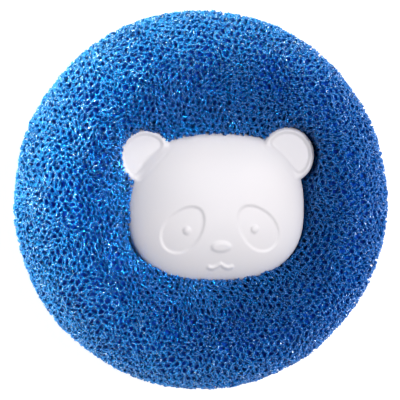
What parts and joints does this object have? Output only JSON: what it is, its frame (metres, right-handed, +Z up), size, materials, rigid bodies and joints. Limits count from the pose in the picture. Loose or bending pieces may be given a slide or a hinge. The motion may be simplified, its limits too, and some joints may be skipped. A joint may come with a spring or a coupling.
{
  "type": "pet hair laundry ball",
  "caption": "Puffy ring of open-cell filter foam pinched between two hollow plastic animal-head floats on a snap-in spindle, which catches pet hair in a washing machine.",
  "frame": {"origin": "on the surface the ball lies on, under the middle of the ring", "axes": "+Z up along the ring's axis, out of the face; +Y towards the ears, which is up in the picture"},
  "size_m": [0.095, 0.095, 0.04],
  "materials": {
    "blue_filter_foam": "matte",
    "white_plastic": "satin"
  },
  "bodies": {
    "rear_head": {"rear_shell": "white_plastic", "rear_plate": "white_plastic"},
    "foam": {"foam_ring": "blue_filter_foam", "spindle": "white_plastic"},
    "front_head": {"face_shell": "white_plastic", "face_plate": "white_plastic"}
  },
  "joints": [
    {"name": "foam_lift", "type": "slide", "parent": "rear_head", "child": "foam", "axis": [0, 0, 1], "range_m": [0, 0.04]},
    {"name": "face_lift", "type": "slide", "parent": "foam", "child": "front_head", "axis": [0, 0, 1], "range_m": [0, 0.03]}
  ]
}
